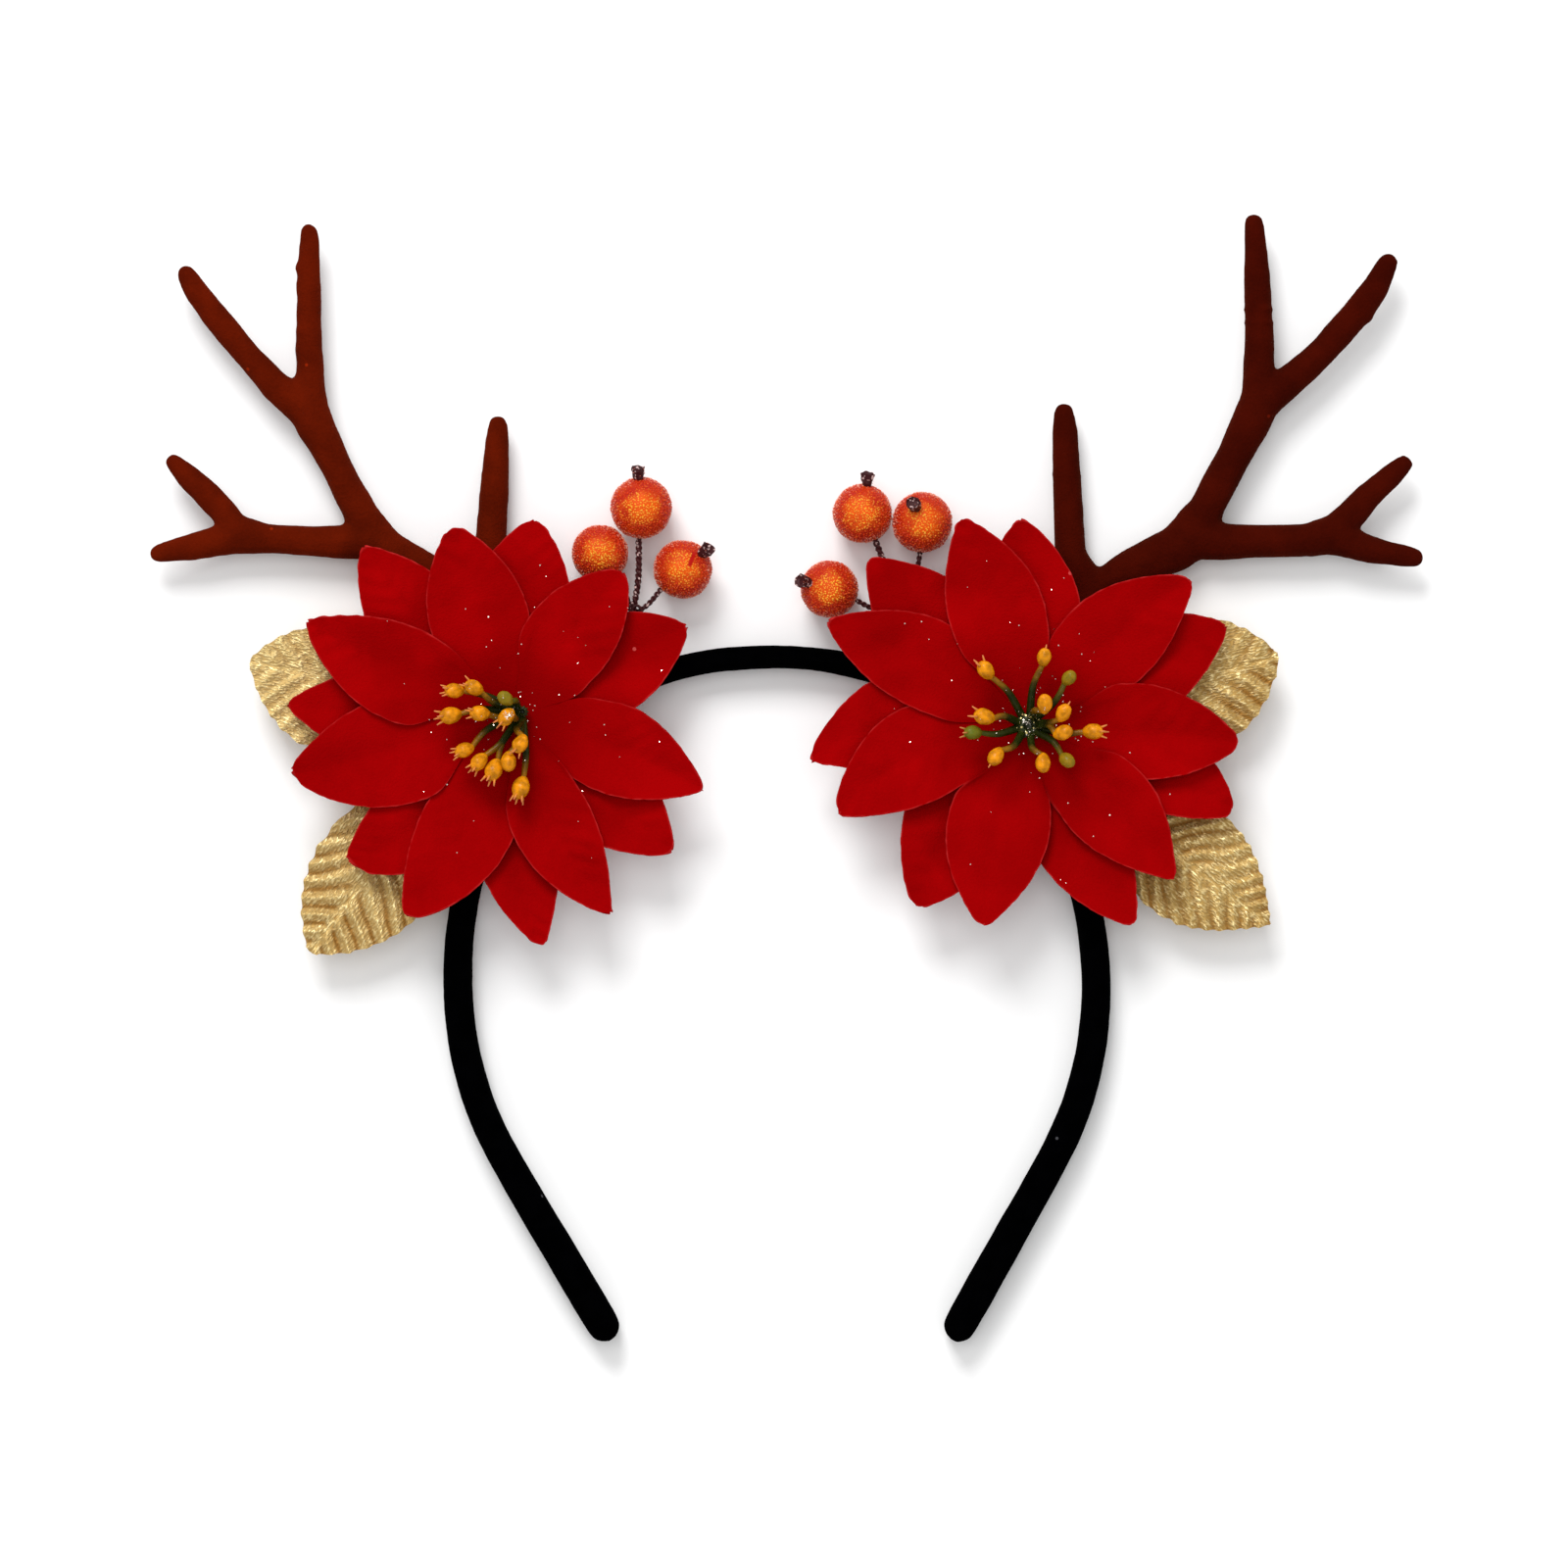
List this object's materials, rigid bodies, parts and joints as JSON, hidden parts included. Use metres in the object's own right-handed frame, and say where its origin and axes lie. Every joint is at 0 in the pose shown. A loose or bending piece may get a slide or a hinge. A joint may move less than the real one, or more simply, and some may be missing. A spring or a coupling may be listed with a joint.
{
  "type": "flower headband with antlers",
  "caption": "Velvet hoop headband with forked flocked antlers, layered red fabric flowers, crimped gold leaves and frosted berries, lying on its back.",
  "frame": {"origin": "middle of the crown's resting face, where the hoop is thinnest", "axes": "+X along the wearer's width, +Y from the hoop's ends towards the crown, +Z from the resting face to the flowers"},
  "size_m": [0.2582, 0.2284, 0.0268],
  "materials": {
    "velvet_black": "short pile velvet",
    "flock_brown": "flocked moulding",
    "velvet_red": "short pile velvet, pressed",
    "gold_cloth": "metallic thread, crimped",
    "stamen_plastic": "moulded, semi gloss",
    "frosted_berry": "coated with clear grains",
    "wrapped_wire": "wire wrapped in dark tape",
    "post_plastic": "plain moulding"
  },
  "bodies": {
    "root": {"band": "velvet_black", "antler_left": "flock_brown", "flower_post_left": "post_plastic", "back_petals_left": "velvet_red", "front_petals_left": "velvet_red", "stamens_left": "stamen_plastic", "berry_stems_left": "wrapped_wire", "gold_leaf_left_1": "gold_cloth", "gold_leaf_left_2": "gold_cloth", "berry_left_1": "frosted_berry", "berry_left_2": "frosted_berry", "berry_left_3": "frosted_berry", "antler_right": "flock_brown", "flower_post_right": "post_plastic", "back_petals_right": "velvet_red", "front_petals_right": "velvet_red", "stamens_right": "stamen_plastic", "berry_stems_right": "wrapped_wire", "gold_leaf_right_1": "gold_cloth", "gold_leaf_right_2": "gold_cloth", "berry_right_1": "frosted_berry", "berry_right_2": "frosted_berry", "berry_right_3": "frosted_berry"}
  },
  "joints": []
}
